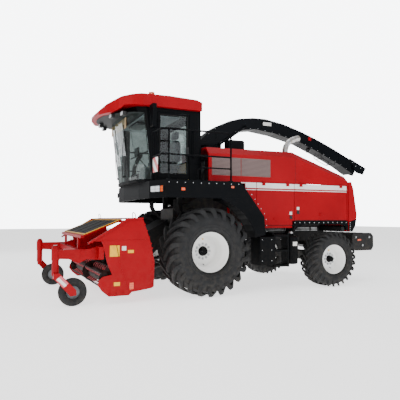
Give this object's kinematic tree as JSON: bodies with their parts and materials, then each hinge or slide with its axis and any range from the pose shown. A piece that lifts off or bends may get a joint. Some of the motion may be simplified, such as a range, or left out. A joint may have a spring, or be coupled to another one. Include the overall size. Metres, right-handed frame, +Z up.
{
  "type": "forage harvester",
  "caption": "Self-propelled forage harvester with pick-up header, lifting feeder, slewing chute, steered rear wheels, opening cab and hood doors.",
  "frame": {"origin": "on the ground under the middle of the machine's box", "axes": "-Y is the way the machine drives, +X its left side, +Z up"},
  "size_m": [3.196, 7.665, 3.75],
  "materials": {
    "red_paint": "gloss",
    "black_paint": "satin",
    "tyre_rubber": "matt",
    "rim_paint": "gloss",
    "window_glass": "clear",
    "bright_steel": "satin",
    "seat_fabric": "woven",
    "cast_engine": "matt",
    "amber_lens": "gloss"
  },
  "bodies": {
    "chassis": {"main_frame": "black_paint", "drive_axle": "black_paint", "engine_block": "cast_engine", "chopper_housing": "black_paint", "hood_shell": "red_paint", "fender_left": "black_paint", "fender_right": "black_paint", "cab_platform": "black_paint", "cab_shell": "black_paint", "cab_roof": "red_paint", "windshield": "window_glass", "right_window": "window_glass", "rear_window": "window_glass", "seat": "seat_fabric", "steering_column": "black_paint", "beacon": "amber_lens", "service_steps": "black_paint", "fuel_tank": "black_paint", "handrail_left": "black_paint", "handrail_right": "black_paint", "mirror_left": "black_paint", "mirror_right": "black_paint", "rear_axle": "black_paint", "counterweight": "black_paint", "exhaust_pipe": "bright_steel", "air_cleaner": "black_paint"},
    "header": {"feeder_housing": "black_paint", "header_frame": "red_paint", "guard_frame": "red_paint"},
    "auger": {"auger": "black_paint"},
    "pickup_drum": {"pickup_drum": "black_paint"},
    "header_lift_barrels": {"header_lift_barrels": "black_paint"},
    "header_lift_rods": {"header_lift_rod_left": "bright_steel", "header_lift_rod_right": "bright_steel"},
    "spout_turret": {"spout_turret": "black_paint"},
    "spout_chute": {"spout_chute": "black_paint"},
    "spout_flap": {"spout_flap": "black_paint"},
    "spout_lift_barrel": {"spout_lift_barrel": "black_paint"},
    "spout_lift_rod": {"spout_lift_rod": "bright_steel"},
    "cab_door": {"cab_door": "black_paint", "door_glass": "window_glass"},
    "rear_door": {"rear_door": "red_paint"},
    "front_wheel_left": {"front_left_rim": "rim_paint", "front_left_tyre": "tyre_rubber"},
    "rear_wheel_left": {"rear_left_rim": "rim_paint", "rear_left_tyre": "tyre_rubber"},
    "steering_knuckle_left": {"steering_knuckle_left": "black_paint"},
    "caster_left": {"caster_left": "red_paint"},
    "gauge_wheel_left": {"gauge_wheel_left": "tyre_rubber"},
    "side_door_front_left": {"side_door_front_left": "red_paint"},
    "side_door_rear_left": {"side_door_rear_left": "red_paint"},
    "front_wheel_right": {"front_right_rim": "rim_paint", "front_right_tyre": "tyre_rubber"},
    "rear_wheel_right": {"rear_right_rim": "rim_paint", "rear_right_tyre": "tyre_rubber"},
    "steering_knuckle_right": {"steering_knuckle_right": "black_paint"},
    "caster_right": {"caster_right": "red_paint"},
    "gauge_wheel_right": {"gauge_wheel_right": "tyre_rubber"},
    "side_door_front_right": {"side_door_front_right": "red_paint"},
    "side_door_rear_right": {"side_door_rear_right": "red_paint"}
  },
  "joints": [
    {"name": "front_wheel_roll_left", "type": "hinge", "parent": "chassis", "child": "front_wheel_left", "pos_m": [1.24, -1.1515, 0.8], "axis": [1, 0, 0], "continuous": true},
    {"name": "steer_left", "type": "hinge", "parent": "chassis", "child": "steering_knuckle_left", "pos_m": [0.9, 1.7085, 0.565], "axis": [0, 0, 1], "range_deg": [-35, 35]},
    {"name": "rear_wheel_roll_left", "type": "hinge", "parent": "steering_knuckle_left", "child": "rear_wheel_left", "pos_m": [1.235, 1.7085, 0.565], "axis": [1, 0, 0], "continuous": true},
    {"name": "front_wheel_roll_right", "type": "hinge", "parent": "chassis", "child": "front_wheel_right", "pos_m": [-1.24, -1.1515, 0.8], "axis": [1, 0, 0], "continuous": true},
    {"name": "steer_right", "type": "hinge", "parent": "chassis", "child": "steering_knuckle_right", "pos_m": [-0.9, 1.7085, 0.565], "axis": [0, 0, 1], "range_deg": [-35, 35]},
    {"name": "rear_wheel_roll_right", "type": "hinge", "parent": "steering_knuckle_right", "child": "rear_wheel_right", "pos_m": [-1.235, 1.7085, 0.565], "axis": [1, 0, 0], "continuous": true},
    {"name": "header_lift", "type": "hinge", "parent": "chassis", "child": "header", "pos_m": [0, -1.5015, 1.15], "axis": [-1, 0, 0], "range_deg": [0, 20]},
    {"name": "header_lift_barrel_swing", "type": "hinge", "parent": "chassis", "child": "header_lift_barrels", "pos_m": [0, -1.3515, 0.6], "axis": [-1, 0, 0], "range_deg": [-0.5, 18.66]},
    {"name": "header_lift_stroke", "type": "slide", "parent": "header_lift_barrels", "child": "header_lift_rods", "axis": [0, -0.9671, -0.2545], "range_m": [-0.005, 0.2013]},
    {"name": "auger_spin", "type": "hinge", "parent": "header", "child": "auger", "pos_m": [0, -2.4815, 0.6], "axis": [1, 0, 0], "continuous": true},
    {"name": "pickup_spin", "type": "hinge", "parent": "header", "child": "pickup_drum", "pos_m": [0, -2.9215, 0.4], "axis": [1, 0, 0], "continuous": true},
    {"name": "caster_swivel_left", "type": "hinge", "parent": "header", "child": "caster_left", "pos_m": [1.3, -3.7715, 0.6], "axis": [0, 0, 1], "range_deg": [-60, 60]},
    {"name": "gauge_wheel_roll_left", "type": "hinge", "parent": "caster_left", "child": "gauge_wheel_left", "pos_m": [1.3, -3.5015, 0.225], "axis": [1, 0, 0], "continuous": true},
    {"name": "caster_swivel_right", "type": "hinge", "parent": "header", "child": "caster_right", "pos_m": [-1.3, -3.7715, 0.6], "axis": [0, 0, 1], "range_deg": [-60, 60]},
    {"name": "gauge_wheel_roll_right", "type": "hinge", "parent": "caster_right", "child": "gauge_wheel_right", "pos_m": [-1.3, -3.5015, 0.225], "axis": [1, 0, 0], "continuous": true},
    {"name": "spout_slew", "type": "hinge", "parent": "chassis", "child": "spout_turret", "pos_m": [0, -0.5015, 2.9], "axis": [0, 0, 1], "range_deg": [-100, 100]},
    {"name": "spout_lift", "type": "hinge", "parent": "spout_turret", "child": "spout_chute", "pos_m": [0, -0.7765, 3.04], "axis": [1, 0, 0], "range_deg": [0, 35]},
    {"name": "spout_flap_tilt", "type": "hinge", "parent": "spout_chute", "child": "spout_flap", "pos_m": [0, 3.3268, 2.872], "axis": [1, 0, 0], "range_deg": [-30, 15]},
    {"name": "spout_lift_barrel_swing", "type": "hinge", "parent": "spout_turret", "child": "spout_lift_barrel", "pos_m": [0.222, -0.2915, 2.99], "axis": [1, 0, 0], "range_deg": [-0.5, 45.44]},
    {"name": "spout_lift_stroke", "type": "slide", "parent": "spout_lift_barrel", "child": "spout_lift_rod", "axis": [0, 0.83, 0.5577], "range_m": [-0.005, 0.2523]},
    {"name": "cab_door_swing", "type": "hinge", "parent": "chassis", "child": "cab_door", "pos_m": [0.963, -1.9635, 2.7], "axis": [0, 0, -1], "range_deg": [0, 56]},
    {"name": "side_door_front_left_lift", "type": "hinge", "parent": "chassis", "child": "side_door_front_left", "pos_m": [1.213, 0.4525, 2.11], "axis": [0, -1, 0], "range_deg": [0, 80]},
    {"name": "side_door_rear_left_lift", "type": "hinge", "parent": "chassis", "child": "side_door_rear_left", "pos_m": [1.213, 1.5845, 2.11], "axis": [0, -1, 0], "range_deg": [0, 80]},
    {"name": "side_door_front_right_lift", "type": "hinge", "parent": "chassis", "child": "side_door_front_right", "pos_m": [-1.213, 0.4525, 2.11], "axis": [0, 1, 0], "range_deg": [0, 80]},
    {"name": "side_door_rear_right_lift", "type": "hinge", "parent": "chassis", "child": "side_door_rear_right", "pos_m": [-1.213, 1.5845, 2.11], "axis": [0, 1, 0], "range_deg": [0, 80]},
    {"name": "rear_door_swing", "type": "hinge", "parent": "chassis", "child": "rear_door", "pos_m": [-1.213, 2.3065, 1.7], "axis": [0, 0, 1], "range_deg": [0, 90]}
  ],
  "couplings": [
    {"joint": "steer_right", "follows": "steer_left", "ratio": 1},
    {"joint": "header_lift_barrel_swing", "follows": "header_lift", "ratio": 0.908},
    {"joint": "header_lift_stroke", "follows": "header_lift", "m_per_rad": 0.5624},
    {"joint": "spout_lift_barrel_swing", "follows": "spout_lift", "ratio": 1.284},
    {"joint": "spout_lift_stroke", "follows": "spout_lift", "m_per_rad": 0.4049}
  ]
}
